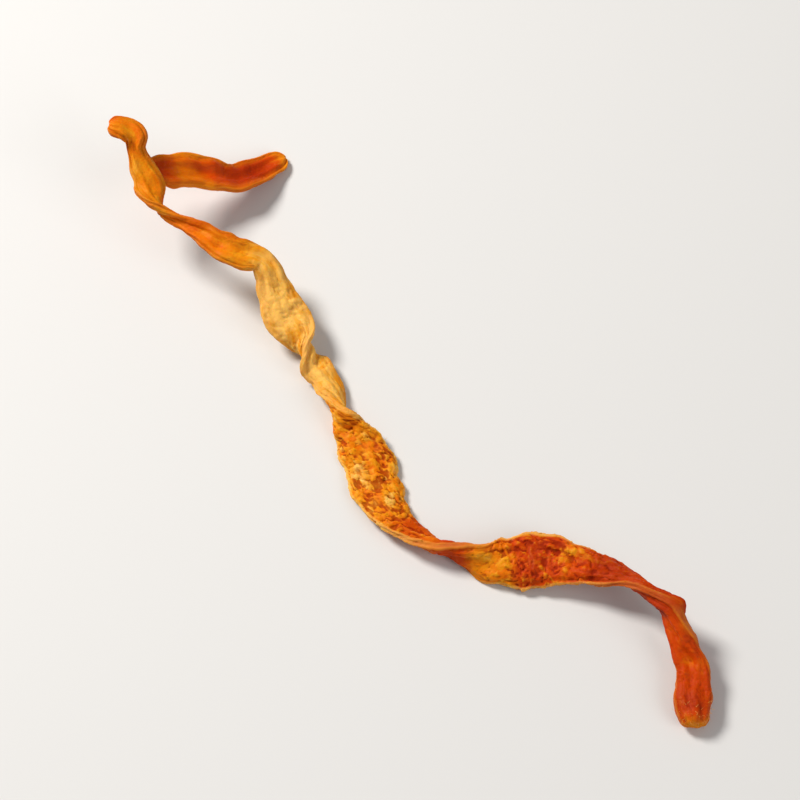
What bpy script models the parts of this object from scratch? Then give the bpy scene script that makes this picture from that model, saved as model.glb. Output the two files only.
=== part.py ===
"""One dried cordyceps flower: a twisted, forked fruiting body lying on a table.

Blender 4.5, in metres, +Z up. The origin is on the table, under the middle of the strand.
The stem is a flat, grooved ribbon that twists as it runs from its blunt base to a hooked tip,
and a short side branch leaves it near the tip. Where the strand presses on the table it is flat.
"""

import math
from collections import namedtuple

import bmesh
import bpy
from mathutils import Vector, noise

MM = 0.001

# The route is given as seen by an eye this far above the table, looking along +Y.
EYE_ELEVATION = math.radians(62)

# How finely the two ribbons are cut into flat faces.
STEM_RINGS = 172
STEM_SIDES = 22
BRANCH_RINGS = 48
BRANCH_SIDES = 20

# How far from its base and from its tip each ribbon starts to round off.
STEM_ENDS = (0.9 * MM, 0.5 * MM)
BRANCH_ENDS = (0.8 * MM, 0.8 * MM)

# The branch's root stays this far from the stem's skin.
FORK_GAP = 0.28 * MM

# Relief of the dried skin, and how much the edges wander as a share of the width.
RIDGE_DEPTH = 0.24 * MM
LUMP_DEPTH = 0.20 * MM
EDGE_WAVE = 0.2
STEM_SEED = 3.1
BRANCH_SEED = 8.6

Station = namedtuple("Station", "across up height width thickness roll cup groove")

# Each row is one place along the ribbon, from its base to its tip. Lengths are in millimetres.
# across, up: the ribbon's middle as the eye sees it; height: of its middle above the table;
# width, thickness: half sizes of the section; roll: turn of the flat side, in degrees;
# cup: how far both edges curl to one side; groove: depth of the furrow, as a share of thickness.
STEM = [
    Station(22.1, -23.3, 0.90, 0.80, 0.75, 0, 0.00, 0.00),
    Station(22.0, -21.6, 0.92, 1.45, 1.05, 0, 0.05, 0.10),
    Station(22.1, -20.0, 1.15, 1.32, 0.90, 6, 0.10, 0.25),
    Station(22.0, -18.6, 1.55, 1.18, 0.80, 14, 0.12, 0.30),
    Station(21.4, -17.3, 2.05, 1.08, 0.72, 30, 0.12, 0.30),
    Station(20.9, -15.8, 2.65, 0.98, 0.66, 55, 0.10, 0.25),
    Station(20.4, -14.5, 3.10, 1.00, 0.72, 84, 0.05, 0.20),
    Station(19.0, -13.4, 3.10, 1.00, 0.66, 112, 0.05, 0.25),
    Station(17.8, -12.6, 2.75, 1.02, 0.62, 138, 0.10, 0.30),
    Station(16.2, -12.1, 2.25, 1.18, 0.58, 163, 0.18, 0.30),
    Station(14.1, -11.6, 1.85, 1.45, 0.56, 182, 0.25, 0.25),
    Station(12.0, -11.2, 1.50, 1.90, 0.55, 192, 0.30, 0.25),
    Station(9.9, -11.2, 1.25, 2.10, 0.56, 196, 0.30, 0.25),
    Station(7.7, -11.4, 1.15, 1.75, 0.58, 202, 0.25, 0.25),
    Station(5.8, -11.0, 1.15, 1.26, 0.60, 240, 0.15, 0.25),
    Station(4.4, -10.5, 1.12, 1.12, 0.60, 272, 0.08, 0.20),
    Station(3.0, -10.1, 1.05, 1.08, 0.60, 298, 0.00, 0.20),
    Station(1.3, -9.2, 0.92, 1.20, 0.60, 324, -0.10, 0.25),
    Station(-0.3, -7.8, 0.72, 1.50, 0.58, 344, -0.20, 0.25),
    Station(-1.3, -6.2, 0.46, 1.90, 0.56, 357, -0.25, 0.25),
    Station(-2.1, -4.1, 0.46, 2.10, 0.56, 362, -0.28, 0.25),
    Station(-3.2, -2.0, 0.78, 1.80, 0.56, 378, -0.20, 0.20),
    Station(-4.4, -0.4, 1.18, 1.30, 0.58, 436, -0.05, 0.15),
    Station(-4.7, 0.4, 1.15, 1.20, 0.60, 466, 0.05, 0.15),
    Station(-5.2, 1.9, 0.90, 1.15, 0.58, 516, 0.12, 0.25),
    Station(-6.2, 3.5, 0.95, 1.18, 0.55, 538, 0.10, 0.25),
    Station(-7.2, 4.9, 1.35, 1.05, 0.55, 458, 0.00, 0.15),
    Station(-7.8, 6.0, 1.70, 1.30, 0.54, 384, -0.10, 0.20),
    Station(-8.7, 7.5, 2.25, 1.76, 0.52, 362, -0.22, 0.25),
    Station(-9.7, 9.7, 3.10, 1.35, 0.52, 352, -0.20, 0.25),
    Station(-10.2, 11.2, 3.80, 1.18, 0.54, 346, -0.12, 0.20),
    Station(-10.9, 12.1, 4.30, 1.18, 0.56, 350, -0.05, 0.20),
    Station(-12.1, 12.5, 4.70, 1.30, 0.52, 362, 0.10, 0.20),
    Station(-13.8, 13.2, 5.10, 1.16, 0.52, 370, 0.15, 0.25),
    Station(-15.5, 14.4, 5.30, 0.82, 0.48, 386, 0.10, 0.25),
    Station(-17.2, 15.3, 5.45, 0.52, 0.36, 420, 0.05, 0.20),
    Station(-18.7, 16.1, 5.60, 0.62, 0.40, 452, 0.00, 0.15),
    Station(-19.5, 17.1, 5.75, 1.00, 0.48, 500, 0.05, 0.15),
    Station(-19.8, 18.2, 6.00, 1.22, 0.54, 528, 0.10, 0.20),
    Station(-20.4, 19.8, 6.80, 0.92, 0.50, 556, 0.12, 0.25),
    Station(-20.8, 21.1, 7.60, 0.64, 0.48, 566, 0.05, 0.20),
    Station(-20.9, 22.1, 8.30, 0.92, 0.46, 556, 0.08, 0.15),
    Station(-21.7, 22.7, 8.75, 1.02, 0.44, 545, 0.10, 0.15),
    Station(-23.0, 23.0, 9.05, 0.72, 0.36, 540, 0.05, 0.00),
]

BRANCH = [
    Station(-20.1, 19.0, 6.25, 0.85, 0.40, 350, 0.05, 0.10),
    Station(-19.4, 19.4, 5.75, 1.10, 0.46, 350, 0.15, 0.15),
    Station(-18.4, 19.5, 5.10, 1.48, 0.50, 350, 0.25, 0.25),
    Station(-17.0, 19.6, 4.25, 1.42, 0.52, 353, 0.30, 0.32),
    Station(-15.0, 19.4, 3.05, 1.52, 0.52, 360, 0.35, 0.42),
    Station(-13.2, 19.2, 1.95, 1.42, 0.52, 366, 0.35, 0.45),
    Station(-11.6, 19.8, 1.10, 1.24, 0.52, 362, 0.30, 0.45),
    Station(-10.2, 20.6, 0.55, 1.04, 0.50, 356, 0.15, 0.30),
    Station(-9.2, 21.1, 0.40, 0.68, 0.42, 352, 0.00, 0.00),
]


def on_the_table(station):
    """The point of the room that the eye sees at a station's place."""
    rise = station.up - station.height * math.cos(EYE_ELEVATION)
    return Vector((station.across, rise / math.sin(EYE_ELEVATION), station.height)) * MM


def route(stations):
    """The ribbon's middle at each station, and how far along the ribbon each one is."""
    places = [on_the_table(station) for station in stations]
    lengths = [0.0]
    for near, far in zip(places, places[1:]):
        lengths.append(lengths[-1] + (far - near).length)
    return places, lengths


def slope(values, lengths, i):
    """How fast a value changes at station i, from the stations on both sides of it."""
    before = max(i - 1, 0)
    after = min(i + 1, len(values) - 1)
    return (values[after] - values[before]) / (lengths[after] - lengths[before])


def flow(values, lengths, distance):
    """A value at a distance along the route, on a smooth curve through its stations."""
    i = 0
    while i < len(lengths) - 2 and distance > lengths[i + 1]:
        i += 1
    step = lengths[i + 1] - lengths[i]
    t = (distance - lengths[i]) / step
    leaving = slope(values, lengths, i) * step
    arriving = slope(values, lengths, i + 1) * step
    return (
        values[i] * (2 * t**3 - 3 * t**2 + 1)
        + leaving * (t**3 - 2 * t**2 + t)
        + values[i + 1] * (3 * t**2 - 2 * t**3)
        + arriving * (t**3 - t**2)
    )


def end_rounding(distance, total, reaches):
    """How far a ribbon is open near its two blunt ends: 0 at the end, 1 past its reach."""
    share = min(1.0, distance / reaches[0], (total - distance) / reaches[1])
    return math.sqrt(max(0.0, 1 - (1 - share) ** 2))


def relief(distance, across, over, seed):
    """Long ridges and rounder lumps of the shrunken skin."""
    along = distance / MM
    ridge = noise.noise(Vector((along * 0.16 + seed, across * 2.4, over * 2.4)))
    lump = noise.noise(Vector((along * 0.85, across * 1.3 + seed, over * 1.3)))
    return ridge * RIDGE_DEPTH + lump * LUMP_DEPTH


def section(distance, width, thickness, cup, groove, sides, seed):
    """One ring of (sideways, outwards) offsets from the ribbon's middle."""
    ring = []
    for k in range(sides):
        angle = 2 * math.pi * k / sides
        across, over = math.cos(angle), math.sin(angle)
        edge = math.copysign(5.3, across)
        wander = noise.noise(Vector((distance / MM * 0.7, edge, seed)))
        reach = width * (1 + EDGE_WAVE * wander * abs(across))
        furrow = 1 - groove * math.exp(-((across / 0.42) ** 2))
        bulge = relief(distance, across, over, seed)
        sideways = reach * math.copysign(abs(across) ** 0.9, across) + bulge * across * 0.5
        outwards = (thickness * furrow + bulge) * over + cup * (across**2 - 0.4)
        ring.append((sideways, outwards))
    return ring


def ribbon_rings(stations, rings, sides, seed, end_reaches, grown=0.0):
    """The rings of points of a twisted ribbon through its stations."""
    places, lengths = route(stations)
    total = lengths[-1]
    column = {name: [getattr(s, name) for s in stations] for name in Station._fields}
    made = []
    for n in range(rings):
        share = n / (rings - 1)
        # Rings crowd towards the two ends, where the ribbon rounds off.
        crowded = share - 0.07 * math.sin(2 * math.pi * share) / math.pi
        distance = total * (0.0008 + 0.9984 * crowded)
        closing = end_rounding(distance, total, end_reaches)
        width = flow(column["width"], lengths, distance) * MM * closing + grown
        thickness = flow(column["thickness"], lengths, distance) * MM * closing + grown
        cup = flow(column["cup"], lengths, distance) * MM * closing
        groove = flow(column["groove"], lengths, distance)
        roll = math.radians(flow(column["roll"], lengths, distance))

        middle = flow(places, lengths, distance)
        behind = flow(places, lengths, max(distance - 0.55 * MM, 0.0))
        ahead = flow(places, lengths, min(distance + 0.55 * MM, total))
        tangent = (ahead - behind).normalized()
        level = tangent.cross(Vector((0, 0, 1))).normalized()
        upright = level.cross(tangent)
        wide_axis = level * math.cos(roll) + upright * math.sin(roll)
        thin_axis = upright * math.cos(roll) - level * math.sin(roll)
        offsets = section(distance, width, thickness, cup, groove, sides, seed)
        made.append([middle + wide_axis * w + thin_axis * t for w, t in offsets])
    return made


def middle_of(rings):
    """The middle of the box around some rings, on the table."""
    points = [point for ring in rings for point in ring]
    xs = [point.x for point in points]
    ys = [point.y for point in points]
    return Vector(((min(xs) + max(xs)) / 2, (min(ys) + max(ys)) / 2, 0))


def loft(name, rings, centre):
    """One closed solid through a row of rings, with a pole at each end."""
    bm = bmesh.new()
    rows = [[bm.verts.new(point - centre) for point in ring] for ring in rings]
    sides = len(rows[0])
    for near, far in zip(rows, rows[1:]):
        for k in range(sides):
            after = (k + 1) % sides
            bm.faces.new((near[k], near[after], far[after], far[k]))
    for row in (rows[0], rows[-1]):
        pole = bm.verts.new(sum((v.co for v in row), Vector()) / sides)
        for k in range(sides):
            bm.faces.new((row[k], row[(k + 1) % sides], pole))
    bmesh.ops.recalc_face_normals(bm, faces=bm.faces)
    mesh = bpy.data.meshes.new(name)
    bm.to_mesh(mesh)
    bm.free()
    mesh.shade_smooth()
    return bpy.data.objects.new(name, mesh)


def table_block():
    """A block whose top is the table."""
    bm = bmesh.new()
    bmesh.ops.create_cube(bm, size=1.0)
    side, depth = 120 * MM, 20 * MM
    bmesh.ops.scale(bm, vec=(side, side, depth), verts=bm.verts)
    bmesh.ops.translate(bm, vec=(0, 0, -depth / 2), verts=bm.verts)
    mesh = bpy.data.meshes.new("table_block")
    bm.to_mesh(mesh)
    bm.free()
    return bpy.data.objects.new("table_block", mesh)


def cut(obj, cutter, name):
    """Takes the cutter's volume away from obj."""
    cutter.hide_render = True
    cutter.display_type = "WIRE"
    modifier = obj.modifiers.new(name, "BOOLEAN")
    modifier.operation = "DIFFERENCE"
    modifier.solver = "EXACT"
    modifier.object = cutter


def skin_material(name, colour, roughness):
    material = bpy.data.materials.new(name)
    material.use_nodes = True
    shader = material.node_tree.nodes["Principled BSDF"]
    shader.inputs["Base Color"].default_value = (*colour, 1)
    shader.inputs["Roughness"].default_value = roughness
    shader.inputs["Metallic"].default_value = 0.0
    return material


def collection_of(name, objects):
    """A new collection in the scene that holds the objects."""
    collection = bpy.data.collections.new(name)
    bpy.context.scene.collection.children.link(collection)
    for obj in objects:
        collection.objects.link(obj)


def main():
    for obj in list(bpy.data.objects):
        bpy.data.objects.remove(obj)

    stem_rings = ribbon_rings(STEM, STEM_RINGS, STEM_SIDES, STEM_SEED, STEM_ENDS)
    branch_rings = ribbon_rings(BRANCH, BRANCH_RINGS, BRANCH_SIDES, BRANCH_SEED, BRANCH_ENDS)
    room_rings = ribbon_rings(STEM, STEM_RINGS, STEM_SIDES, STEM_SEED, STEM_ENDS, FORK_GAP)

    centre = middle_of(stem_rings + branch_rings)
    stem = loft("stem", stem_rings, centre)
    branch = loft("side_branch", branch_rings, centre)
    room = loft("room_for_stem", room_rings, centre)
    table = table_block()
    collection_of("dried_cordyceps_flower", [stem, branch])
    collection_of("cutters", [room, table])

    stem.data.materials.append(skin_material("stem_skin", (0.72, 0.24, 0.03), 0.6))
    branch.data.materials.append(skin_material("branch_skin", (0.60, 0.15, 0.02), 0.6))
    cut(stem, table, "flat on the table")
    cut(branch, table, "flat on the table")
    cut(branch, room, "root at the fork")


main()
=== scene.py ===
"""The looks of one dried cordyceps flower: a forked, twisted fruiting body on a pale table.

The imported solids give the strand's place and size. This script grows a fine skin over the same
route, wrinkles it and raises its grains with geometry nodes, scatters loose grains and base
threads on it, and sets the table, the light and the camera.
"""

import math
from collections import namedtuple

import bpy
import numpy as np
from bpy.props import FloatProperty, FloatVectorProperty, IntProperty, PointerProperty
from bpy.types import Operator, Panel, PropertyGroup
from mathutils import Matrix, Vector, noise


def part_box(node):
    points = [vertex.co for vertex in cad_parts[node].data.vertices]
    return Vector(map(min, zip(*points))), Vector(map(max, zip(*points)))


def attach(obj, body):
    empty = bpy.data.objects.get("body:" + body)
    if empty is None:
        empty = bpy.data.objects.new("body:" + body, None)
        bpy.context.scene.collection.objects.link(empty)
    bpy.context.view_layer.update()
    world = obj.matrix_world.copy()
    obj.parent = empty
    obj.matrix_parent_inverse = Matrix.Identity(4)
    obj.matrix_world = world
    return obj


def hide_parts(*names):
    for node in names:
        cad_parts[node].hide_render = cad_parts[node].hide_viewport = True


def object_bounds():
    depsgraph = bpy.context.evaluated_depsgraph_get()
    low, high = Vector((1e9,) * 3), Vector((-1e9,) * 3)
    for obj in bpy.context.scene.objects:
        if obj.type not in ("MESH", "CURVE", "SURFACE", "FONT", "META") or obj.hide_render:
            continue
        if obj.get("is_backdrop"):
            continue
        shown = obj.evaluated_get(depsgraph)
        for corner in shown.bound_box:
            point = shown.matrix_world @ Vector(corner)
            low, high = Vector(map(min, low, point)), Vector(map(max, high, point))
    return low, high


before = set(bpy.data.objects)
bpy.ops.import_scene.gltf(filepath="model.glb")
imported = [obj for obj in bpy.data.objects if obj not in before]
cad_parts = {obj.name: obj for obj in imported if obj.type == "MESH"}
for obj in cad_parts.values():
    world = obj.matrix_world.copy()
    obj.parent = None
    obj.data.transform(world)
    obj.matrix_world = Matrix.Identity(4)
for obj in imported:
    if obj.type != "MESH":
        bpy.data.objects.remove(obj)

bl_info = {
    "name": "Dried cordyceps flower",
    "version": (1, 0, 0),
    "blender": (4, 5, 0),
    "location": "View3D > Sidebar > Cordyceps",
    "description": "Grows the skin, grains and base threads of one dried fruiting body",
    "category": "Object",
}

MM = 0.001

# The route is given as seen by an eye this far above the table, looking along +Y.
EYE_ELEVATION = math.radians(62)

# Depths of the skin's long ridges and rounder lumps, in millimetres.
RIDGE_DEPTH = 0.24
LUMP_DEPTH = 0.20
# How much the edges wander, as a share of the width.
EDGE_WAVE = 0.2

# How far ahead and behind the ribbon's direction is read, in millimetres.
LOOK_AHEAD = 0.55
# How far the first and last rings stand inside the ends, as a share of the length.
END_GAP = 0.0008
# How strongly the rings crowd towards both ends.
CROWDING = 0.07
# The power that blunts the section's edges.
BLUNTNESS = 0.9
# The furrow's half width, as a share of the section's.
FURROW_WIDTH = 0.42
# A cupped section's middle sinks by this share of the cup, and its edges rise by the rest.
CUP_SINK = 0.4

Station = namedtuple("Station", "across up height width thickness roll cup groove")
Tone = namedtuple("Tone", "distance grain gold red")
Knob = namedtuple("Knob", "distance turn reach height")
Ribbon = namedtuple("Ribbon", "stations tones rings sides seed end_reaches dimple knob")

# Each row is one place along the ribbon, from its base to its tip. Lengths are in millimetres.
# across, up: the ribbon's middle as the eye sees it; height: of its middle above the table;
# width, thickness: half sizes of the section; roll: turn of the flat side, in degrees;
# cup: how far both edges curl to one side; groove: depth of the furrow, as a share of thickness.
STEM_STATIONS = [
    Station(22.1, -23.3, 0.90, 0.80, 0.75, 0, 0.00, 0.00),
    Station(22.0, -21.6, 0.92, 1.45, 1.05, 0, 0.05, 0.10),
    Station(22.1, -20.0, 1.15, 1.32, 0.90, 6, 0.10, 0.25),
    Station(22.0, -18.6, 1.55, 1.18, 0.80, 14, 0.12, 0.30),
    Station(21.4, -17.3, 2.05, 1.08, 0.72, 30, 0.12, 0.30),
    Station(20.9, -15.8, 2.65, 0.98, 0.66, 55, 0.10, 0.25),
    Station(20.4, -14.5, 3.10, 1.00, 0.72, 84, 0.05, 0.20),
    Station(19.0, -13.4, 3.10, 1.00, 0.66, 112, 0.05, 0.25),
    Station(17.8, -12.6, 2.75, 1.02, 0.62, 138, 0.10, 0.30),
    Station(16.2, -12.1, 2.25, 1.18, 0.58, 163, 0.18, 0.30),
    Station(14.1, -11.6, 1.85, 1.45, 0.56, 182, 0.25, 0.25),
    Station(12.0, -11.2, 1.50, 1.90, 0.55, 192, 0.30, 0.25),
    Station(9.9, -11.2, 1.25, 2.10, 0.56, 196, 0.30, 0.25),
    Station(7.7, -11.4, 1.15, 1.75, 0.58, 202, 0.25, 0.25),
    Station(5.8, -11.0, 1.15, 1.26, 0.60, 240, 0.15, 0.25),
    Station(4.4, -10.5, 1.12, 1.12, 0.60, 272, 0.08, 0.20),
    Station(3.0, -10.1, 1.05, 1.08, 0.60, 298, 0.00, 0.20),
    Station(1.3, -9.2, 0.92, 1.20, 0.60, 324, -0.10, 0.25),
    Station(-0.3, -7.8, 0.72, 1.50, 0.58, 344, -0.20, 0.25),
    Station(-1.3, -6.2, 0.46, 1.90, 0.56, 357, -0.25, 0.25),
    Station(-2.1, -4.1, 0.46, 2.10, 0.56, 362, -0.28, 0.25),
    Station(-3.2, -2.0, 0.78, 1.80, 0.56, 378, -0.20, 0.20),
    Station(-4.4, -0.4, 1.18, 1.30, 0.58, 436, -0.05, 0.15),
    Station(-4.7, 0.4, 1.15, 1.20, 0.60, 466, 0.05, 0.15),
    Station(-5.2, 1.9, 0.90, 1.15, 0.58, 516, 0.12, 0.25),
    Station(-6.2, 3.5, 0.95, 1.18, 0.55, 538, 0.10, 0.25),
    Station(-7.2, 4.9, 1.35, 1.05, 0.55, 458, 0.00, 0.15),
    Station(-7.8, 6.0, 1.70, 1.30, 0.54, 384, -0.10, 0.20),
    Station(-8.7, 7.5, 2.25, 1.76, 0.52, 362, -0.22, 0.25),
    Station(-9.7, 9.7, 3.10, 1.35, 0.52, 352, -0.20, 0.25),
    Station(-10.2, 11.2, 3.80, 1.18, 0.54, 346, -0.12, 0.20),
    Station(-10.9, 12.1, 4.30, 1.18, 0.56, 350, -0.05, 0.20),
    Station(-12.1, 12.5, 4.70, 1.30, 0.52, 362, 0.10, 0.20),
    Station(-13.8, 13.2, 5.10, 1.16, 0.52, 370, 0.15, 0.25),
    Station(-15.5, 14.4, 5.30, 0.82, 0.48, 386, 0.10, 0.25),
    Station(-17.2, 15.3, 5.45, 0.52, 0.36, 420, 0.05, 0.20),
    Station(-18.7, 16.1, 5.60, 0.62, 0.40, 452, 0.00, 0.15),
    Station(-19.5, 17.1, 5.75, 1.00, 0.48, 500, 0.05, 0.15),
    Station(-19.8, 18.2, 6.00, 1.22, 0.54, 528, 0.10, 0.20),
    Station(-20.4, 19.8, 6.80, 0.92, 0.50, 556, 0.12, 0.25),
    Station(-20.8, 21.1, 7.60, 0.64, 0.48, 566, 0.05, 0.20),
    Station(-20.9, 22.1, 8.30, 0.92, 0.46, 556, 0.08, 0.15),
    Station(-21.7, 22.7, 8.75, 1.02, 0.44, 545, 0.10, 0.15),
    Station(-23.0, 23.0, 9.05, 0.72, 0.36, 540, 0.05, 0.00),
]

BRANCH_STATIONS = [
    Station(-20.1, 19.0, 6.25, 0.85, 0.40, 350, 0.05, 0.10),
    Station(-19.4, 19.4, 5.75, 1.10, 0.46, 350, 0.15, 0.15),
    Station(-18.4, 19.5, 5.10, 1.48, 0.50, 350, 0.25, 0.25),
    Station(-17.0, 19.6, 4.25, 1.42, 0.52, 353, 0.30, 0.32),
    Station(-15.0, 19.4, 3.05, 1.52, 0.52, 360, 0.35, 0.42),
    Station(-13.2, 19.2, 1.95, 1.42, 0.52, 366, 0.35, 0.45),
    Station(-11.6, 19.8, 1.10, 1.24, 0.52, 362, 0.30, 0.45),
    Station(-10.2, 20.6, 0.55, 1.04, 0.50, 356, 0.15, 0.30),
    Station(-9.2, 21.1, 0.40, 0.68, 0.42, 352, 0.00, 0.00),
]

# How grainy, golden or red the skin is at distances in millimetres from the ribbon's base. Grain runs
# from 0 to 1. Gold above about 0.75 turns pale. Red above 1 darkens the colour: partly the skin's dark
# red, and in places painted shade, as in the branch's furrow and at its root.
STEM_TONES = [
    Tone(0.0, 0.1, 0.5, 0.4),
    Tone(1.5, 0.2, 0.15, 1.6),
    Tone(3.3, 0.3, 0.0, 1.3),
    Tone(5.0, 0.2, 0.25, 0.7),
    Tone(6.5, 0.2, 0.0, 1.0),
    Tone(8.0, 0.2, 0.1, 0.7),
    Tone(9.5, 0.2, -0.2, 1.8),
    Tone(12.0, 0.2, 0.0, 1.4),
    Tone(14.0, 0.3, 0.0, 1.6),
    Tone(16.0, 0.6, 0.0, 1.6),
    Tone(18.3, 0.8, 0.3, 0.4),
    Tone(21.0, 0.9, -0.05, 1.5),
    Tone(23.0, 0.9, 0.45, 0.2),
    Tone(25.3, 0.3, 0.6, 0.0),
    Tone(27.3, 0.3, -0.2, 1.4),
    Tone(29.0, 0.35, 0.2, 0.4),
    Tone(31.3, 0.8, 0.25, 0.5),
    Tone(34.5, 1.0, 0.7, 0.1),
    Tone(37.5, 1.0, 0.7, 0.1),
    Tone(40.5, 1.0, 0.6, 0.15),
    Tone(43.0, 0.5, 0.85, 0.1),
    Tone(46.0, 0.3, 1.1, 0.0),
    Tone(50.0, 0.5, 1.2, 0.0),
    Tone(53.0, 0.4, 1.25, 0.0),
    # Painted light: this pale gold brightens the bend here, which lies in shade.
    Tone(55.7, 0.2, 1.3, 0.0),
    Tone(57.5, 0.15, 0.95, 0.0),
    Tone(59.5, 0.15, 0.45, 0.35),
    Tone(63.0, 0.1, 0.35, 0.45),
    Tone(67.0, 0.08, 0.5, 0.1),
    Tone(70.5, 0.06, 0.65, 0.1),
    Tone(73.0, 0.06, 0.6, 0.1),
    Tone(75.0, 0.08, 0.35, 0.4),
]

BRANCH_TONES = [
    # Painted shade: red above 1 in the first rows darkens the root, where the branch meets the stem.
    Tone(0.0, 0.05, -0.5, 1.8),
    Tone(1.6, 0.05, -0.4, 1.3),
    Tone(3.2, 0.1, -0.2, 0.4),
    Tone(6.0, 0.1, -0.2, 0.5),
    # Painted shade: red above 1 in these rows darkens the furrow along the branch.
    Tone(7.8, 0.1, -0.1, 1.6),
    Tone(10.5, 0.15, -0.1, 1.8),
    Tone(12.2, 0.15, 0.0, 1.4),
    Tone(13.3, 0.1, 0.5, 0.5),
]

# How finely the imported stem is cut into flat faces, for laying the skin exactly over it.
SOLID_RINGS = 172
SOLID_SIDES = 22

# A small knob on the outside of the bend near the base. Lengths are in millimetres; turn is where it
# stands around the section.
BEND_KNOB = Knob(9.3, math.radians(315), 0.45, 0.45)
NO_KNOB = Knob(0.0, 0.0, 1.0, 0.0)
# How much redder the knob is for each millimetre of its rise.
KNOB_REDNESS = 3.0

# rings, sides: how finely the skin is laid; seed: which relief it has; end_reaches: how far from each
# end the section closes; dimple: how deep the base end is sunk.
STEM = Ribbon(STEM_STATIONS, STEM_TONES, 860, 100, 3.1, (0.9, 0.5), 0.35, BEND_KNOB)
BRANCH = Ribbon(BRANCH_STATIONS, BRANCH_TONES, 190, 90, 8.6, (0.8, 0.8), 0.0, NO_KNOB)


# The ribbon's shape


def route(stations):
    """The ribbon's middle at each station, and how far along the ribbon each one is."""
    across, up, height = (np.array([getattr(s, n) for s in stations]) for n in Station._fields[:3])
    along_table = (up - height * math.cos(EYE_ELEVATION)) / math.sin(EYE_ELEVATION)
    places = np.column_stack((across, along_table, height))
    steps = np.linalg.norm(np.diff(places, axis=0), axis=1)
    return places, np.concatenate(([0.0], np.cumsum(steps)))


def flow(values, lengths, distances):
    """Values at distances along the route, on a smooth curve through its stations."""
    values = np.asarray(values, dtype=float).reshape(len(lengths), -1)
    order = np.arange(len(lengths))
    before = np.maximum(order - 1, 0)
    after = np.minimum(order + 1, len(lengths) - 1)
    slopes = (values[after] - values[before]) / (lengths[after] - lengths[before])[:, None]
    i = np.clip(np.searchsorted(lengths, distances) - 1, 0, len(lengths) - 2)
    step = (lengths[i + 1] - lengths[i])[:, None]
    t = (distances - lengths[i])[:, None] / step
    return (
        values[i] * (2 * t**3 - 3 * t**2 + 1)
        + slopes[i] * step * (t**3 - 2 * t**2 + t)
        + values[i + 1] * (3 * t**2 - 2 * t**3)
        + slopes[i + 1] * step * (t**3 - t**2)
    )


def directions(places, lengths, distances, roll):
    """The ribbon's forward, wide and thin directions at each distance."""
    ahead = flow(places, lengths, np.minimum(distances + LOOK_AHEAD, lengths[-1]))
    behind = flow(places, lengths, np.maximum(distances - LOOK_AHEAD, 0.0))
    forward = ahead - behind
    forward /= np.linalg.norm(forward, axis=1)[:, None]
    level = np.cross(forward, (0.0, 0.0, 1.0))
    level /= np.linalg.norm(level, axis=1)[:, None]
    upright = np.cross(level, forward)
    wide = level * np.cos(roll) + upright * np.sin(roll)
    thin = upright * np.cos(roll) - level * np.sin(roll)
    return forward, wide, thin


def broad_relief(distances, across, over, seed):
    """Long ridges and rounder lumps of the shrunken skin, in millimetres."""
    relief = np.empty((len(distances), len(across)))
    for n, along in enumerate(distances):
        for k, (x, y) in enumerate(zip(across, over)):
            ridge = noise.noise(Vector((along * 0.16 + seed, x * 2.4, y * 2.4)))
            lump = noise.noise(Vector((along * 0.85, x * 1.3 + seed, y * 1.3)))
            relief[n, k] = ridge * RIDGE_DEPTH + lump * LUMP_DEPTH
    return relief


def edge_wander(distances, across, seed):
    """How far each edge wanders in and out, from about -0.5 to 0.5."""
    left = np.array([noise.noise(Vector((d * 0.7, -5.3, seed))) for d in distances])
    right = np.array([noise.noise(Vector((d * 0.7, 5.3, seed))) for d in distances])
    return np.where(across > 0, right[:, None], left[:, None])


def knob_rise(knob, distances, angle, girth):
    """How far a knob lifts the skin at each point, in millimetres."""
    along = (distances[:, None] - knob.distance) / knob.reach
    around = (np.mod(angle - knob.turn + math.pi, 2 * math.pi) - math.pi) * girth / knob.reach
    return knob.height * np.exp(-(along**2) - around**2)


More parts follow.
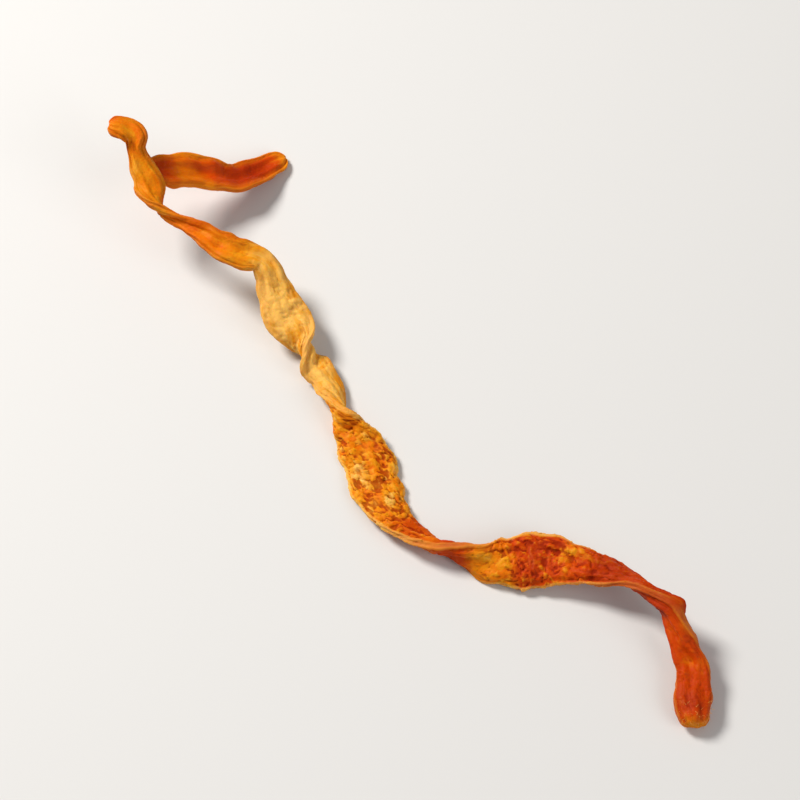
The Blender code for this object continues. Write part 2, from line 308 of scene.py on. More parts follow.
def grow(ribbon):
    """The points of a ribbon's skin, ring by ring, in millimetres, and what each one is told."""
    places, lengths = route(ribbon.stations)
    total = lengths[-1]
    share = np.linspace(0.0, 1.0, ribbon.rings)
    crowded = share - CROWDING * np.sin(2 * math.pi * share) / math.pi
    distances = total * (END_GAP + (1 - 2 * END_GAP) * crowded)
    column = {
        name: flow([getattr(s, name) for s in ribbon.stations], lengths, distances)
        for name in Station._fields[3:]
    }
    base_reach, tip_reach = ribbon.end_reaches
    to_end = np.minimum(distances / base_reach, (total - distances) / tip_reach)
    closing = np.sqrt(1 - (1 - np.minimum(to_end, 1.0)) ** 2)[:, None]
    width = column["width"] * closing
    thickness = column["thickness"] * closing
    cup = column["cup"] * closing

    angle = 2 * math.pi * np.arange(ribbon.sides) / ribbon.sides
    across, over = np.cos(angle), np.sin(angle)
    bulge = broad_relief(distances, across, over, ribbon.seed) * closing
    reach = width * (1 + EDGE_WAVE * edge_wander(distances, across, ribbon.seed) * abs(across))
    furrow = 1 - column["groove"] * np.exp(-((across / FURROW_WIDTH) ** 2))
    sideways = reach * np.copysign(abs(across) ** BLUNTNESS, across) + bulge * across * 0.5
    outwards = (thickness * furrow + bulge) * over + cup * (across**2 - CUP_SINK)
    lift = knob_rise(ribbon.knob, distances, angle, (width + thickness) / 2)
    sideways = sideways + lift * math.cos(ribbon.knob.turn)
    outwards = outwards + lift * math.sin(ribbon.knob.turn)

    forward, wide, thin = directions(places, lengths, distances, np.radians(column["roll"]))
    middle = flow(places, lengths, distances)
    at_base = np.clip(1 - distances / base_reach, 0, 1)[:, None]
    middle = middle + forward * ribbon.dimple * np.clip(at_base * 2 - 1, 0, 1) ** 2
    points = (
        middle[:, None, :]
        + wide[:, None, :] * sideways[:, :, None]
        + thin[:, None, :] * outwards[:, :, None]
    )
    along = np.broadcast_to(distances[:, None], sideways.shape)
    laid_out = np.stack((along, sideways, outwards), axis=-1)
    edge = np.broadcast_to(abs(across), sideways.shape)
    told = {"laid_out": laid_out, "edge": edge}
    for name in Tone._fields[1:]:
        known = [getattr(t, name) for t in ribbon.tones]
        levels = np.interp(distances, [t.distance for t in ribbon.tones], known)
        told[name] = np.broadcast_to(levels[:, None], sideways.shape)
    told["red"] = told["red"] + lift * KNOB_REDNESS
    told["gold"] = told["gold"] - lift
    return points, told


def shift_to_frame():
    """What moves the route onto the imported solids, whose origin is the middle of their box."""
    points, _ = grow(STEM._replace(rings=SOLID_RINGS, sides=SOLID_SIDES, dimple=0.0, knob=NO_KNOB))
    low, high = (np.array(corner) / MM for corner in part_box("stem"))
    middle = (points.min(axis=(0, 1)) + points.max(axis=(0, 1))) / 2
    return ((low + high) / 2 - middle) * (1, 1, 0)


def skin_mesh(name, points, told):
    """One closed mesh through the rings, with a pole at each end and what each point is told."""
    rings, sides, _ = points.shape
    ends = np.stack((points[0].mean(axis=0), points[-1].mean(axis=0)))
    corners = np.concatenate((points.reshape(-1, 3), ends)) * MM
    corners[:, 2] = np.maximum(corners[:, 2], 0.0)
    ring, side = np.meshgrid(np.arange(rings - 1), np.arange(sides), indexing="ij")
    start, after = ring * sides, (side + 1) % sides
    around = (start + side, start + sides + side, start + sides + after, start + after)
    quads = np.stack(around, axis=-1).reshape(-1, 4)
    last = (rings - 1) * sides
    fans = [((k + 1) % sides, rings * sides, k) for k in range(sides)]
    fans += [(last + k, rings * sides + 1, last + (k + 1) % sides) for k in range(sides)]
    mesh = bpy.data.meshes.new(name)
    mesh.from_pydata(corners.tolist(), [], quads.tolist() + fans)
    for label, values in told.items():
        kind, field = ("FLOAT_VECTOR", "vector") if values.ndim == 3 else ("FLOAT", "value")
        flat = values.reshape(rings * sides, -1)
        flat = np.concatenate((flat, flat[:1], flat[-1:]))
        mesh.attributes.new(label, kind, "POINT").data.foreach_set(field, flat.ravel())
    mesh.shade_smooth()
    return mesh


# Node trees as formulas


class Wire:
    """A node's output that takes part in sums, so that a pattern reads as a formula."""

    def __init__(self, sheet, socket):
        self.sheet = sheet
        self.socket = socket

    def is_vector(self):
        return self.socket.type in ("VECTOR", "RGBA")

    def __add__(self, other):
        return self.sheet.sum("ADD", self, other)

    def __radd__(self, other):
        return self.sheet.sum("ADD", other, self)

    def __sub__(self, other):
        return self.sheet.sum("SUBTRACT", self, other)

    def __rsub__(self, other):
        return self.sheet.sum("SUBTRACT", other, self)

    def __mul__(self, other):
        return self.sheet.sum("MULTIPLY", self, other)

    def __rmul__(self, other):
        return self.sheet.sum("MULTIPLY", other, self)

    def __truediv__(self, other):
        return self.sheet.sum("DIVIDE", self, other)

    def __rtruediv__(self, other):
        return self.sheet.sum("DIVIDE", other, self)

    def __abs__(self):
        return self.sheet.add("ShaderNodeMath", (self,), operation="ABSOLUTE")


class Sheet:
    """A node tree under construction, with short ways to add and join its nodes."""

    def __init__(self, tree):
        self.tree = tree

    def add(self, kind, inputs=(), output=0, **settings):
        """Adds any node. Inputs come in order, or by name as a dictionary."""
        node = self.tree.nodes.new(kind)
        for name, value in settings.items():
            setattr(node, name, value)
        pairs = inputs.items() if isinstance(inputs, dict) else enumerate(inputs)
        for key, value in pairs:
            self.feed(node.inputs[key], value)
        return Wire(self, node.outputs[output])

    def feed(self, socket, value):
        if isinstance(value, Wire):
            self.tree.links.new(value.socket, socket)
        else:
            socket.default_value = value

    def sum(self, operation, first, second):
        """One sum of numbers or of vectors."""
        pair = (first, second)
        vectors = [isinstance(v, tuple) or isinstance(v, Wire) and v.is_vector() for v in pair]
        if not any(vectors):
            return self.add("ShaderNodeMath", pair, operation=operation)
        pair = [self.as_vector(v) for v in pair]
        return self.add("ShaderNodeVectorMath", pair, operation=operation)

    def as_vector(self, value):
        return (value, value, value) if isinstance(value, (int, float)) else value

    def step(self, value, low, high):
        """0 below low, 1 above high and smooth between them."""
        inputs = {"Value": value, "From Min": low, "From Max": high}
        return self.add("ShaderNodeMapRange", inputs, interpolation_type="SMOOTHSTEP")

    def noise(self, vector, scale, detail=2.0, rough=0.5, warp=0.0):
        inputs = {"Vector": vector, "Scale": scale, "Detail": detail}
        inputs.update({"Roughness": rough, "Distortion": warp})
        return self.add("ShaderNodeTexNoise", inputs)

    def noise_colour(self, vector, scale):
        """A smooth noise that differs in each of its three parts."""
        inputs = {"Vector": vector, "Scale": scale, "Detail": 1.0}
        return self.add("ShaderNodeTexNoise", inputs, output=1)

    def cells(self, vector, scale, feature="F1"):
        """Distance from the middle of the nearest cell, or from its border."""
        inputs = {"Vector": vector, "Scale": scale}
        return self.add("ShaderNodeTexVoronoi", inputs, feature=feature)

    def cell_colour(self, vector, scale):
        """A random colour for each cell."""
        inputs = {"Vector": vector, "Scale": scale}
        return self.add("ShaderNodeTexVoronoi", inputs, output=1)

    def mix(self, amount, first, second, blend="MIX"):
        """A colour between two colours."""
        node = self.tree.nodes.new("ShaderNodeMix")
        node.data_type = "RGBA"
        node.blend_type = blend
        for index, value in ((0, amount), (6, first), (7, second)):
            self.feed(node.inputs[index], value)
        return Wire(self, node.outputs[2])


# Relief, grains and threads


def new_geometry_tree(name, inputs):
    """A geometry node tree with named inputs. Returns its sheet and the inputs as wires."""
    tree = bpy.data.node_groups.new(name, "GeometryNodeTree")
    tree.interface.new_socket("Geometry", in_out="OUTPUT", socket_type="NodeSocketGeometry")
    tree.interface.new_socket("Geometry", in_out="INPUT", socket_type="NodeSocketGeometry")
    for label, kind in inputs.items():
        tree.interface.new_socket(label, in_out="INPUT", socket_type=kind)
    entry = tree.nodes.new("NodeGroupInput")
    sheet = Sheet(tree)
    return sheet, {socket.name: Wire(sheet, socket) for socket in entry.outputs if socket.name}


# No point of a piece is lower than this, and all are well inside it sideways. In metres.
LOWEST_PLACE = (-1.0, -1.0, 0.0)


def close_tree(sheet, geometry, material):
    """Ends a tree in real faces that don't sink below the table, with their material."""
    real = sheet.add("GeometryNodeRealizeInstances", (geometry,))
    place = sheet.add("GeometryNodeInputPosition")
    lifted = sheet.add("ShaderNodeVectorMath", (place, LOWEST_PLACE), operation="MAXIMUM")
    resting = sheet.add("GeometryNodeSetPosition", {"Geometry": real, "Position": lifted})
    dressed = sheet.add("GeometryNodeSetMaterial", {"Geometry": resting, "Material": material})
    exit_node = sheet.tree.nodes.new("NodeGroupOutput")
    sheet.tree.links.new(dressed.socket, exit_node.inputs[0])


def told_field(sheet, name, kind="FLOAT"):
    """What the skin's points were told, as a field."""
    return sheet.add("GeometryNodeInputNamedAttribute", {"Name": name}, data_type=kind)


def noted(sheet, geometry, name, value):
    """The geometry with one more value told to its points."""
    inputs = {"Geometry": geometry, "Name": name, "Value": value}
    return sheet.add("GeometryNodeStoreNamedAttribute", inputs, data_type="FLOAT", domain="POINT")


# How far the ridges of the granular skin slant from the strand's length.
RIDGE_SLANT = math.radians(40)
# Shares of the way from middle to edge between which the rim rises, and between which it falls.
RIM_FOOT = (0.84, 0.93)
RIM_LIP = (0.97, 1.0)
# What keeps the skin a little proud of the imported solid, in millimetres.
SKIN_RISE = 0.01

RELIEF_INPUTS = {
    "Grain Size": "NodeSocketFloat",
    "Grain Height": "NodeSocketFloat",
    "Wrinkle Depth": "NodeSocketFloat",
    "Crinkle Depth": "NodeSocketFloat",
    "Rim Height": "NodeSocketFloat",
    "Material": "NodeSocketMaterial",
}


def relief_tree():
    """Raises grains and rims, sinks lengthwise wrinkles and crinkles the skin. In millimetres."""
    sheet, given = new_geometry_tree("Dried skin relief", RELIEF_INPUTS)
    laid = told_field(sheet, "laid_out", "FLOAT_VECTOR")
    grain = told_field(sheet, "grain")

    # Grains are low cobbles, joined by crooked ridges and parted here and there by short cracks. Each
    # one's number in the sum is its share of the grain height.
    drift = sheet.noise_colour(laid, 1.1) - 0.5
    inputs = {"Vector": laid + drift * 0.8, "Angle": RIDGE_SLANT}
    slanted = sheet.add("ShaderNodeVectorRotate", inputs, rotation_type="Z_AXIS")
    spread = slanted * (0.7, 1.0, 1.0) / given["Grain Size"]
    cobble = sheet.step(sheet.cells(spread, 1.0, feature="DISTANCE_TO_EDGE"), 0.0, 0.3)
    ridge = 1 - sheet.step(abs(sheet.noise(spread, 0.6, 1.0) - 0.5), 0.0, 0.12)
    crooked = sheet.noise(spread * (0.8, 1.3, 1.3), 0.45, 1.0, 0.5, 0.4)
    line = 1 - sheet.step(abs(crooked - 0.5), 0.0, 0.055)
    crack = line * sheet.step(sheet.noise(laid, 1.1, 1.0), 0.41, 0.53)
    speckle = sheet.add("ShaderNodeSeparateXYZ", (sheet.cell_colour(spread, 1.0),))
    rise = cobble * (0.35 + speckle * 0.4) + ridge * 0.32 - crack * 0.85 - 0.34
    edge = told_field(sheet, "edge")
    off_rim = 1 - sheet.step(edge, 0.86, 0.97) * 0.5
    beads = rise * given["Grain Height"] * (grain * 0.95 + 0.05) * off_rim

    # Wrinkles follow the lines where a stretched noise crosses its middle, between soft swells and
    # fine fibres. Each one's number in the sum is its share of the wrinkle depth.
    stretched = sheet.noise(laid * (0.2, 1.0, 1.0), 0.95, 2.0, 0.5, 0.5)
    crease = 1 - sheet.step(abs(stretched - 0.5), 0.0, 0.06)
    swell = sheet.noise(laid * (0.3, 1.0, 1.0), 1.5, 1.0) - 0.5
    fibre = sheet.noise(laid * (0.09, 1.0, 1.0), 4.2, 2.0, 0.55, 0.3) - 0.5
    roughness = 0.4 + grain * 0.5
    wrinkles = (swell - crease * 0.55 + fibre * 0.65) * roughness * given["Wrinkle Depth"]

    rim = sheet.step(edge, *RIM_FOOT) * (1 - sheet.step(edge, *RIM_LIP)) * given["Rim Height"]

    crinkle = (sheet.noise(laid, 3.4, 3.0, 0.6) - 0.5) * roughness * given["Crinkle Depth"]
    height = beads + wrinkles + crinkle + rim + SKIN_RISE
    outward = sheet.add("GeometryNodeInputNormal")
    inputs = {"Geometry": given["Geometry"], "Offset": outward * (height * MM)}
    moved = sheet.add("GeometryNodeSetPosition", inputs)
    told = noted(sheet, noted(sheet, moved, "relief", height), "speckle", speckle)
    close_tree(sheet, told, given["Material"])
    return sheet.tree


def height_above_table(sheet):
    """Height of a point above the table, in millimetres."""
    place = sheet.add("GeometryNodeInputPosition")
    return sheet.add("ShaderNodeSeparateXYZ", (place,), output=2) / MM


def scattered(sheet, given, amount, apart, shape, scale, tilt):
    """Copies of one shape over a skin, each turned and sized at random."""
    scatter = sheet.tree.nodes.new("GeometryNodeDistributePointsOnFaces")
    scatter.distribute_method = "POISSON"
    sheet.feed(scatter.inputs["Mesh"], given["Geometry"])
    sheet.feed(scatter.inputs["Distance Min"], apart)
    sheet.feed(scatter.inputs["Density Max"], given["Number per Square Metre"])
    sheet.feed(scatter.inputs["Density Factor"], amount)
    sheet.feed(scatter.inputs["Seed"], given["Seed"])
    points = Wire(sheet, scatter.outputs["Points"])
    upright = Wire(sheet, scatter.outputs["Rotation"])
    inputs = {"Points": points, "Instance": shape, "Rotation": upright, "Scale": scale}
    copies = sheet.add("GeometryNodeInstanceOnPoints", inputs)
    inputs = {0: (-tilt, -tilt, 0.0), 1: (tilt, tilt, 2 * math.pi), "Seed": given["Seed"]}
    turn = sheet.add("FunctionNodeRandomValue", inputs, data_type="FLOAT_VECTOR")
    inputs = {"Instances": copies, "Rotation": turn, "Local Space": True}
    turned = sheet.add("GeometryNodeRotateInstances", inputs)
    real = sheet.add("GeometryNodeRealizeInstances", (turned,))
    return sheet.add("GeometryNodeSetShadeSmooth", (real,))


def random_size(sheet, given, low, high):
    inputs = {2: low, 3: high, "Seed": given["Seed"]}
    return sheet.add("FunctionNodeRandomValue", inputs, output=1, data_type="FLOAT")


# Heights in millimetres above the table below which there are no grains or threads, and above which
# there are all.
GRAINS_CLEAR = (0.15, 0.3)
THREADS_CLEAR = (0.3, 0.5)
# Distances in millimetres from the base end between which the base threads thin out.
THREADS_THINNING = (0.6, 2.6)

SCATTER_INPUTS = {
    "Number per Square Metre": "NodeSocketFloat",
    "Radius": "NodeSocketFloat",
    "Length": "NodeSocketFloat",
    "Seed": "NodeSocketInt",
    "Material": "NodeSocketMaterial",
}


def grain_tree():
    """Scatters small half-sunk domes over the grainy stretches of a skin."""
    sheet, given = new_geometry_tree("Scattered grains", SCATTER_INPUTS)
    clear = sheet.step(height_above_table(sheet), *GRAINS_CLEAR)
    raised = sheet.step(told_field(sheet, "relief"), -0.04, 0.04)
    amount = sheet.step(told_field(sheet, "grain"), 0.3, 1.0) * clear * raised
    inputs = {"Segments": 7, "Rings": 4, "Radius": given["Radius"]}
    dome = sheet.add("GeometryNodeMeshUVSphere", inputs)
    scale = random_size(sheet, given, 0.5, 1.1) * (1.0, 1.2, 0.5)
    grains = scattered(sheet, given, amount, given["Radius"] * 1.9, dome, scale, 0.3)
    close_tree(sheet, grains, given["Material"])
    return sheet.tree


# A thread's shape in shares of its length: it is rooted under the skin, stands up and leans over.
THREAD_ROOT = (0.0, 0.0, -0.15)
THREAD_BEND = (0.05, 0.0, 0.55)
THREAD_TIP = (0.5, 0.15, 0.85)
# What the thread's radius loses towards its tip.
THREAD_TAPER = 0.7


def thread_tree():
    """Scatters short curved threads over the base end and, thinly, along the rims."""
    sheet, given = new_geometry_tree("Scattered threads", SCATTER_INPUTS)
    laid = told_field(sheet, "laid_out", "FLOAT_VECTOR")
    along = sheet.add("ShaderNodeSeparateXYZ", (laid,))
    near_base = 1 - sheet.step(along, *THREADS_THINNING)
    on_rim = sheet.step(told_field(sheet, "edge"), 0.88, 0.96) * told_field(sheet, "grain") * 0.1
    outward = sheet.add("ShaderNodeSeparateXYZ", (sheet.add("GeometryNodeInputNormal"),), output=2)
    clear = sheet.step(height_above_table(sheet), *THREADS_CLEAR)
    facing_up = sheet.step(outward, -0.4, -0.1)
    amount = (near_base + on_rim) * (clear * facing_up)

    reach = given["Length"]
    inputs = {"Resolution": 4, "Start": reach * THREAD_ROOT}
    inputs.update({"Middle": reach * THREAD_BEND, "End": reach * THREAD_TIP})
    line = sheet.add("GeometryNodeCurveQuadraticBezier", inputs)
    inputs = {"Resolution": 4, "Radius": given["Radius"]}
    ring = sheet.add("GeometryNodeCurvePrimitiveCircle", inputs)
    taper = 1 - sheet.add("GeometryNodeSplineParameter") * THREAD_TAPER
    inputs = {"Curve": line, "Profile Curve": ring, "Scale": taper, "Fill Caps": True}
    thread = sheet.add("GeometryNodeCurveToMesh", inputs)
    scale = random_size(sheet, given, 0.4, 1.0)
    threads = scattered(sheet, given, amount, given["Radius"] * 6.0, thread, scale, 0.7)
    close_tree(sheet, threads, given["Material"])
    return sheet.tree


def run_tree(name, mesh, tree, values):
    """The plain mesh that a geometry node tree makes of a mesh, as a new object."""
    carrier = bpy.data.objects.new(name + "_carrier", mesh)
    bpy.context.scene.collection.objects.link(carrier)
    modifier = carrier.modifiers.new("tree", "NODES")
    modifier.node_group = tree
    for item in tree.interface.items_tree:
        if item.item_type == "SOCKET" and item.name in values:
            modifier[item.identifier] = values[item.name]
    carrier.update_tag()
    seen = bpy.context.evaluated_depsgraph_get()
    grown = carrier.evaluated_get(seen)
    made = bpy.data.meshes.new_from_object(grown, preserve_all_data_layers=True, depsgraph=seen)
    bpy.data.objects.remove(carrier)
    made.name = name
    piece = bpy.data.objects.new(name, made)
    bpy.context.scene.collection.objects.link(piece)
    return piece


# Finishes


def told_share(sheet, name):
    """What the skin's points were told, as a number."""
    return sheet.add("ShaderNodeAttribute", output=2, attribute_name=name)


# Relief at which the painted shade of a crease is darkest and a crest's partly painted highlight is
# brightest, in millimetres.
RELIEF_LOW = -0.085
RELIEF_HIGH = 0.10


def skin_material(name, colours, golden_flanks):
    """Dried fungus skin: painted shade in its creases, gold on its ridges and cream on its grainy
    rims, both partly painted highlights.

    Its narrow sides are golden or else darker. Red above 1 darkens the colour, in places as painted
    shade. Each mix's number is how far it goes at most.
    """
    material = bpy.data.materials.new(name)
    material.use_nodes = True
    sheet = Sheet(material.node_tree)
    shader = material.node_tree.nodes["Principled BSDF"]
    laid = sheet.add("ShaderNodeAttribute", output=1, attribute_name="laid_out")
    relief = told_share(sheet, "relief")
    grain = told_share(sheet, "grain")
    flesh, gold, red, deep, cream = ((*colour, 1.0) for colour in colours)

    patches = sheet.noise(laid * (0.5, 1.0, 1.0), 0.55, 3.0, 0.55, 0.4)
    streaks = sheet.noise(laid * (0.15, 1.0, 1.0), 1.7, 3.0, 0.55, 0.3)
    blotches = sheet.noise(laid * (0.6, 0.9, 0.9) + (5.0, 2.0, 1.0), 0.75, 2.0, 0.5, 0.3)
    spots = (told_share(sheet, "speckle") - 0.5) * grain
    redness = told_share(sheet, "red")
    to_red = sheet.step(redness + (patches - 0.5) * 1.5, 0.15, 0.95)
    golden = told_share(sheet, "gold") + (streaks - 0.5) * 1.0 + (blotches - 0.5) * 1.2 + spots * 0.7
    colour = sheet.mix(to_red, flesh, red)
    colour = sheet.mix(sheet.step(golden, 0.2, 1.05) * 0.9, colour, gold)
    # Partly painted highlight: the crests lean to gold, as light caught on them, besides their own
    # golden tint.
    crest = sheet.step(relief, RELIEF_HIGH * 0.1, RELIEF_HIGH)
    colour = sheet.mix(crest * (0.25 + grain * 0.4), colour, gold)
    pale = sheet.step(golden, 0.75, 1.3)
    colour = sheet.mix(pale * 0.9, colour, cream)
    edge = told_share(sheet, "edge")
    # Partly painted highlight: cream on the grainy rims, for their pale colour and for light glowing
    # through the thin edges.
    rim_cream_and_highlight = sheet.step(edge, 0.88, 0.97) * grain * (1 - sheet.step(redness, 1.4, 2.2))
    colour = sheet.mix(rim_cream_and_highlight * 0.75, colour, cream)
    flank = sheet.step(edge, 0.4, 0.95) * (1 - grain)
    if golden_flanks:
        colour = sheet.mix(flank * 0.3, colour, gold)
    else:
        colour = sheet.mix(flank * 0.35, colour, deep, "MULTIPLY")
    # Painted shade in part: red above 1 darkens towards the deep tint, for the dark red stretches and
    # for the branch's shaded furrow and root; less so towards the sides.
    dusky_and_shade = sheet.step(redness, 1.0, 2.0) * (1 - sheet.step(edge, 0.3, 0.9) * 0.7)
    colour = sheet.mix(dusky_and_shade * 0.8, colour, deep, "MULTIPLY")
    along = sheet.add("ShaderNodeSeparateXYZ", (laid,))
    base = 1 - sheet.step(along + (streaks - 0.5) * 1.6, 0.1, 0.9)
    colour = sheet.mix(base * 0.35, colour, gold)

    # Painted shade: the colour darkens towards the deep tint in the relief's hollows, more where
    # grainy, less on the pale stretches.
    hollow = 1 - sheet.step(relief, RELIEF_LOW, RELIEF_LOW * 0.1)
    shade = hollow * (0.5 + grain * 0.3) * (1 - pale * 0.85)
    colour = sheet.mix(shade, colour, deep, "MULTIPLY")
    specks = sheet.step(sheet.noise(laid, 5.5, 2.0, 0.6), 0.6, 0.74)
    colour = sheet.mix(specks * (0.15 + grain * 0.25), colour, deep, "MULTIPLY")
    sheet.feed(shader.inputs["Base Color"], colour)

    grit = sheet.noise(laid, 7.0, 3.0, 0.65)
    sheet.feed(shader.inputs["Roughness"], 0.36 + grit * 0.28 + hollow * 0.2 - crest * 0.1)
    pores = sheet.cells(laid * (0.7, 1.0, 1.0), 6.0)
    fibres = sheet.noise(laid * (0.12, 1.0, 1.0), 9.0, 2.0)
    ground = grit * 0.7 + pores * 0.5 + fibres * 0.6
    bump = sheet.add("ShaderNodeBump", {"Strength": 0.8, "Distance": 0.05 * MM, "Height": ground})
    sheet.feed(shader.inputs["Normal"], bump)
    shader.inputs["Subsurface Weight"].default_value = 0.35
    shader.inputs["Subsurface Radius"].default_value = (1.0, 0.35, 0.08)
    shader.inputs["Subsurface Scale"].default_value = 0.28 * MM
    shader.inputs["Specular IOR Level"].default_value = 0.08
    return material


# What is left of each part of the threads' colour where they are darkest.
THREAD_TAN = (0.9, 0.6, 0.35)


def thread_material(colour):
    """Dull, pale threads."""
    material = bpy.data.materials.new("thread_finish")
    material.use_nodes = True
    sheet = Sheet(material.node_tree)
    shader = material.node_tree.nodes["Principled BSDF"]
    laid = sheet.add("ShaderNodeAttribute", output=1, attribute_name="laid_out")
    shade = sheet.step(sheet.noise(laid, 2.5), 0.35, 0.65)
    pale = (*colour, 1.0)
    tanned = (*(part * kept for part, kept in zip(colour, THREAD_TAN)), 1.0)
    sheet.feed(shader.inputs["Base Color"], sheet.mix(shade, tanned, pale))
    shader.inputs["Roughness"].default_value = 0.8
    return material


def floor_material(colour):
    material = bpy.data.materials.new("pale_table")
    material.use_nodes = True
    shader = material.node_tree.nodes["Principled BSDF"]
    shader.inputs["Base Color"].default_value = (*colour, 1.0)
    shader.inputs["Roughness"].default_value = 0.75
    return material


# Settings, operators and panel


def colour_property(name, description, default):
    return FloatVectorProperty(
        name=name, description=description, default=default, size=3, min=0.0, max=1.0, subtype="COLOR"
    )


def length_property(name, description, millimetres):
    default = millimetres * MM
    return FloatProperty(name=name, description=description, default=default, min=0.0, unit="LENGTH")


class CordycepsSkin(PropertyGroup):
    """Sizes and colours of the dried skin."""

    grain_size: length_property("Grain size", "Distance between grains", 0.48)
    grain_height: length_property("Grain height", "Height of a grain above its crevices", 0.17)
    wrinkle_depth: length_property("Wrinkle depth", "Depth of a lengthwise wrinkle", 0.14)
    crinkle_depth: length_property("Crinkle depth", "Depth of fine crinkles", 0.08)
    rim_height: length_property("Rim height", "How far the rims stand up", 0.07)
    bead_radius: length_property("Bead radius", "Radius of a loose grain", 0.08)
    beads_per_area: FloatProperty(
        name="Beads", description="Loose grains per square metre", default=8.0e6, min=0.0
    )
    thread_radius: length_property("Thread radius", "Radius of a thread at its root", 0.018)
    thread_length: length_property("Thread length", "Length of the longest thread", 0.4)
    threads_per_area: FloatProperty(
        name="Threads", description="Threads per square metre at the base", default=7.0e6, min=0.0
    )
    seed: IntProperty(name="Seed", description="Which scatter is made", default=7, min=0)
    flesh: colour_property("Flesh", "Main orange of the skin", (0.74, 0.165, 0.0))
    gold: colour_property("Gold", "Golden ridges and base end", (0.79, 0.325, 0.008))
    red: colour_property("Red", "Red orange stretches", (0.57, 0.055, 0.0))
    deep: colour_property("Deep", "Tint of the crease bottoms", (0.46, 0.16, 0.05))
    cream: colour_property("Cream", "Pale stretches, rims and threads", (0.88, 0.50, 0.11))


class CordycepsStage(PropertyGroup):
    """The table, the light and the camera."""

    table_colour: colour_property("Table", "Colour of the table", (0.70, 0.695, 0.685))
    elevation: FloatProperty(
        name="Elevation",
        description="Camera's height above the horizon",
        default=EYE_ELEVATION,
        subtype="ANGLE",
    )
    lens: FloatProperty(name="Lens", description="Focal length", default=120.0, unit="CAMERA")
    fill: FloatProperty(
        name="Fill",
        description="Share of the frame that the strand's box takes",
        default=0.8,
        min=0.1,
        max=1.0,
        subtype="FACTOR",
    )


def skin_colours(skin):
    return [tuple(getattr(skin, name)) for name in ("flesh", "gold", "red", "deep", "cream")]


def dress_ribbon(name, node, ribbon, skin, smoothness=1.0):
    """Grows one ribbon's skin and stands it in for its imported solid. Below 1, wrinkles are lower."""
    points, told = grow(ribbon)
    mesh = skin_mesh(name + "_plain", points + shift_to_frame(), told)
    values = {
        "Grain Size": skin.grain_size / MM,
        "Grain Height": skin.grain_height / MM,
        "Wrinkle Depth": skin.wrinkle_depth / MM * smoothness,
        "Crinkle Depth": skin.crinkle_depth / MM * smoothness,
        "Rim Height": skin.rim_height / MM,
        "Material": skin_material(name + "_finish", skin_colours(skin), ribbon is BRANCH),
    }
    piece = run_tree(name, mesh, relief_tree(), values)
    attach(piece, "root")
    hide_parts(node)


class CORDYCEPS_OT_stem(Operator):
    """Grow the stem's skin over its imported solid"""

    bl_idname = "cordyceps.stem"
    bl_label = "Stem"

    def execute(self, context):
        dress_ribbon("stem_skin", "stem", STEM, context.scene.cordyceps_skin)
        return {"FINISHED"}


class CORDYCEPS_OT_side_branch(Operator):
    """Grow the side branch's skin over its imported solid"""

    bl_idname = "cordyceps.side_branch"
    bl_label = "Side branch"

    def execute(self, context):
        skin = context.scene.cordyceps_skin
        dress_ribbon("branch_skin", "side_branch", BRANCH, skin, 0.6)
        return {"FINISHED"}


def scatter_on_stem(name, tree, values):
    """Scatters one kind of small piece over the stem's skin."""
    stem = bpy.data.objects["stem_skin"]
    piece = run_tree(name, stem.data.copy(), tree, values)
    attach(piece, "root")


class CORDYCEPS_OT_grains(Operator):
    """Scatter loose grains over the grainy stretches"""

    bl_idname = "cordyceps.grains"
    bl_label = "Grains"

    def execute(self, context):
        skin = context.scene.cordyceps_skin
        values = {
            "Number per Square Metre": skin.beads_per_area,
            "Radius": skin.bead_radius,
            "Seed": skin.seed,
            "Material": bpy.data.objects["stem_skin"].data.materials[0],
        }
        scatter_on_stem("stem_grains", grain_tree(), values)
        return {"FINISHED"}


class CORDYCEPS_OT_threads(Operator):
    """Grow short threads at the base end and along the rims"""

    bl_idname = "cordyceps.threads"
    bl_label = "Threads"

    def execute(self, context):
        skin = context.scene.cordyceps_skin
        values = {
            "Number per Square Metre": skin.threads_per_area,
            "Radius": skin.thread_radius,
            "Length": skin.thread_length,
            "Seed": skin.seed,
            "Material": thread_material(tuple(skin.cream)),
        }
        scatter_on_stem("stem_threads", thread_tree(), values)
        return {"FINISHED"}


class CORDYCEPS_OT_stage(Operator):
    """Lay the table, hang the lights and set the camera"""

    bl_idname = "cordyceps.stage"
    bl_label = "Stage"

    def execute(self, context):
        stage = context.scene.cordyceps_stage
        lay_table(stage)
        hang_lamps()
        set_camera(stage)
        context.scene.view_settings.view_transform = "Standard"
        return {"FINISHED"}


# The table's half side, and how far it lies below the strand, in metres.
TABLE_REACH = 2.0
TABLE_DROP = 0.02 * MM

Lamp = namedtuple("Lamp", "name place width power colour")
LAMPS = (
    Lamp("key_light", (-0.22, 0.14, 0.28), 0.12, 1.65, (1.0, 0.97, 0.93)),
    Lamp("fill_light", (0.30, -0.22, 0.26), 0.30, 0.60, (1.0, 1.0, 1.0)),
)
SKY_COLOUR = (1.0, 0.99, 0.98, 1.0)
SKY_STRENGTH = 0.25


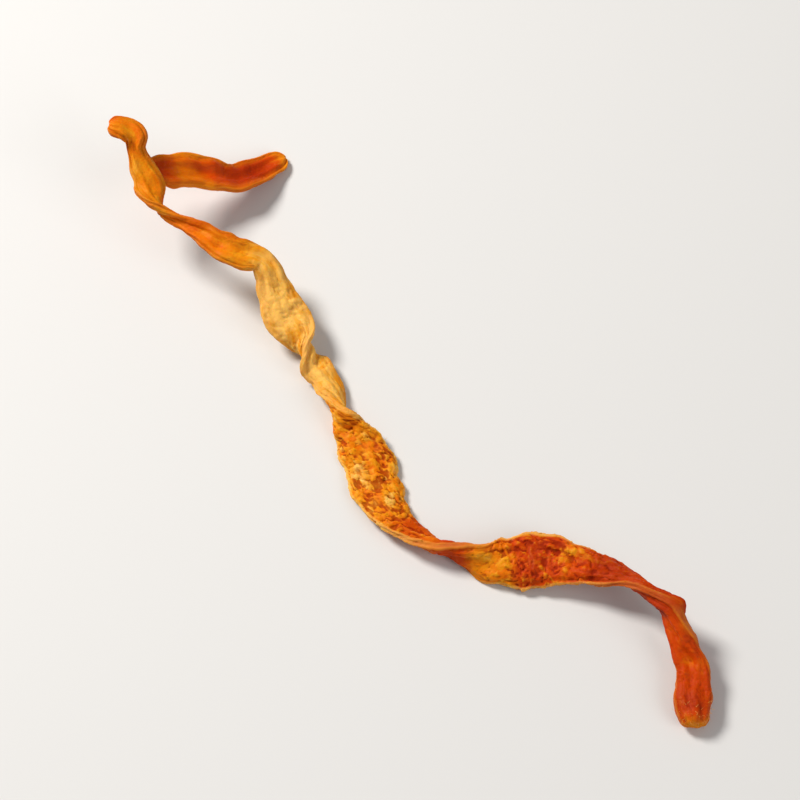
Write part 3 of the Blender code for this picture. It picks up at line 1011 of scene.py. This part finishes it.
def lay_table(stage):
    turns = ((-1, -1), (1, -1), (1, 1), (-1, 1))
    corners = [(x * TABLE_REACH, y * TABLE_REACH, -TABLE_DROP) for x, y in turns]
    mesh = bpy.data.meshes.new("table")
    mesh.from_pydata(corners, [], [(0, 1, 2, 3)])
    mesh.materials.append(floor_material(stage.table_colour))
    table = bpy.data.objects.new("table", mesh)
    bpy.context.scene.collection.objects.link(table)
    table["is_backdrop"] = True


def hang_lamps():
    """Hangs round soft lamps that face the strand, under a dim sky."""
    for lamp in LAMPS:
        light = bpy.data.lights.new(lamp.name, "AREA")
        light.shape = "DISK"
        light.size = lamp.width
        light.energy = lamp.power
        light.color = lamp.colour
        hung = bpy.data.objects.new(lamp.name, light)
        hung.location = lamp.place
        hung.rotation_euler = (-Vector(lamp.place)).to_track_quat("-Z", "Y").to_euler()
        bpy.context.scene.collection.objects.link(hung)
    world = bpy.data.worlds.new("studio")
    world.use_nodes = True
    sky = world.node_tree.nodes["Background"]
    sky.inputs["Color"].default_value = SKY_COLOUR
    sky.inputs["Strength"].default_value = SKY_STRENGTH
    bpy.context.scene.world = world


def set_camera(stage):
    """Aims a long lens at the middle of the strand's box, so that the box fills its share."""
    low, high = (Vector(corner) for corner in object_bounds())
    centre = (low + high) / 2
    back = Vector((0.0, -math.cos(stage.elevation), math.sin(stage.elevation)))
    size = high - low
    seen_height = size.y * math.sin(stage.elevation) + size.z * math.cos(stage.elevation)
    frame_side = max(size.x, seen_height) / stage.fill
    lens = bpy.data.cameras.new("camera")
    lens.lens = stage.lens
    lens.clip_start = 0.01
    camera = bpy.data.objects.new("camera", lens)
    camera.location = centre + back * (frame_side * stage.lens / lens.sensor_width)
    camera.rotation_euler = (-back).to_track_quat("-Z", "Y").to_euler()
    bpy.context.scene.collection.objects.link(camera)
    bpy.context.scene.camera = camera


class CORDYCEPS_PT_panel(Panel):
    """Lists the strand's pieces and their settings"""

    bl_idname = "CORDYCEPS_PT_panel"
    bl_label = "Dried cordyceps flower"
    bl_space_type = "VIEW_3D"
    bl_region_type = "UI"
    bl_category = "Cordyceps"

    def draw(self, context):
        for group in (context.scene.cordyceps_skin, context.scene.cordyceps_stage):
            box = self.layout.box()
            for name in group.bl_rna.properties.keys():
                if name not in ("rna_type", "name"):
                    box.prop(group, name)
        for operator in OPERATORS:
            self.layout.operator(operator.bl_idname)


OPERATORS = (
    CORDYCEPS_OT_stem,
    CORDYCEPS_OT_side_branch,
    CORDYCEPS_OT_grains,
    CORDYCEPS_OT_threads,
    CORDYCEPS_OT_stage,
)
CLASSES = (CordycepsSkin, CordycepsStage, *OPERATORS, CORDYCEPS_PT_panel)


def register():
    for cls in CLASSES:
        bpy.utils.register_class(cls)
    bpy.types.Scene.cordyceps_skin = PointerProperty(type=CordycepsSkin)
    bpy.types.Scene.cordyceps_stage = PointerProperty(type=CordycepsStage)


def unregister():
    del bpy.types.Scene.cordyceps_stage
    del bpy.types.Scene.cordyceps_skin
    for cls in reversed(CLASSES):
        bpy.utils.unregister_class(cls)


def main():
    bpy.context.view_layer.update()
    register()
    bpy.ops.cordyceps.stem()
    bpy.ops.cordyceps.side_branch()
    bpy.ops.cordyceps.grains()
    bpy.ops.cordyceps.threads()
    bpy.ops.cordyceps.stage()


if __name__ == "__main__":
    main()
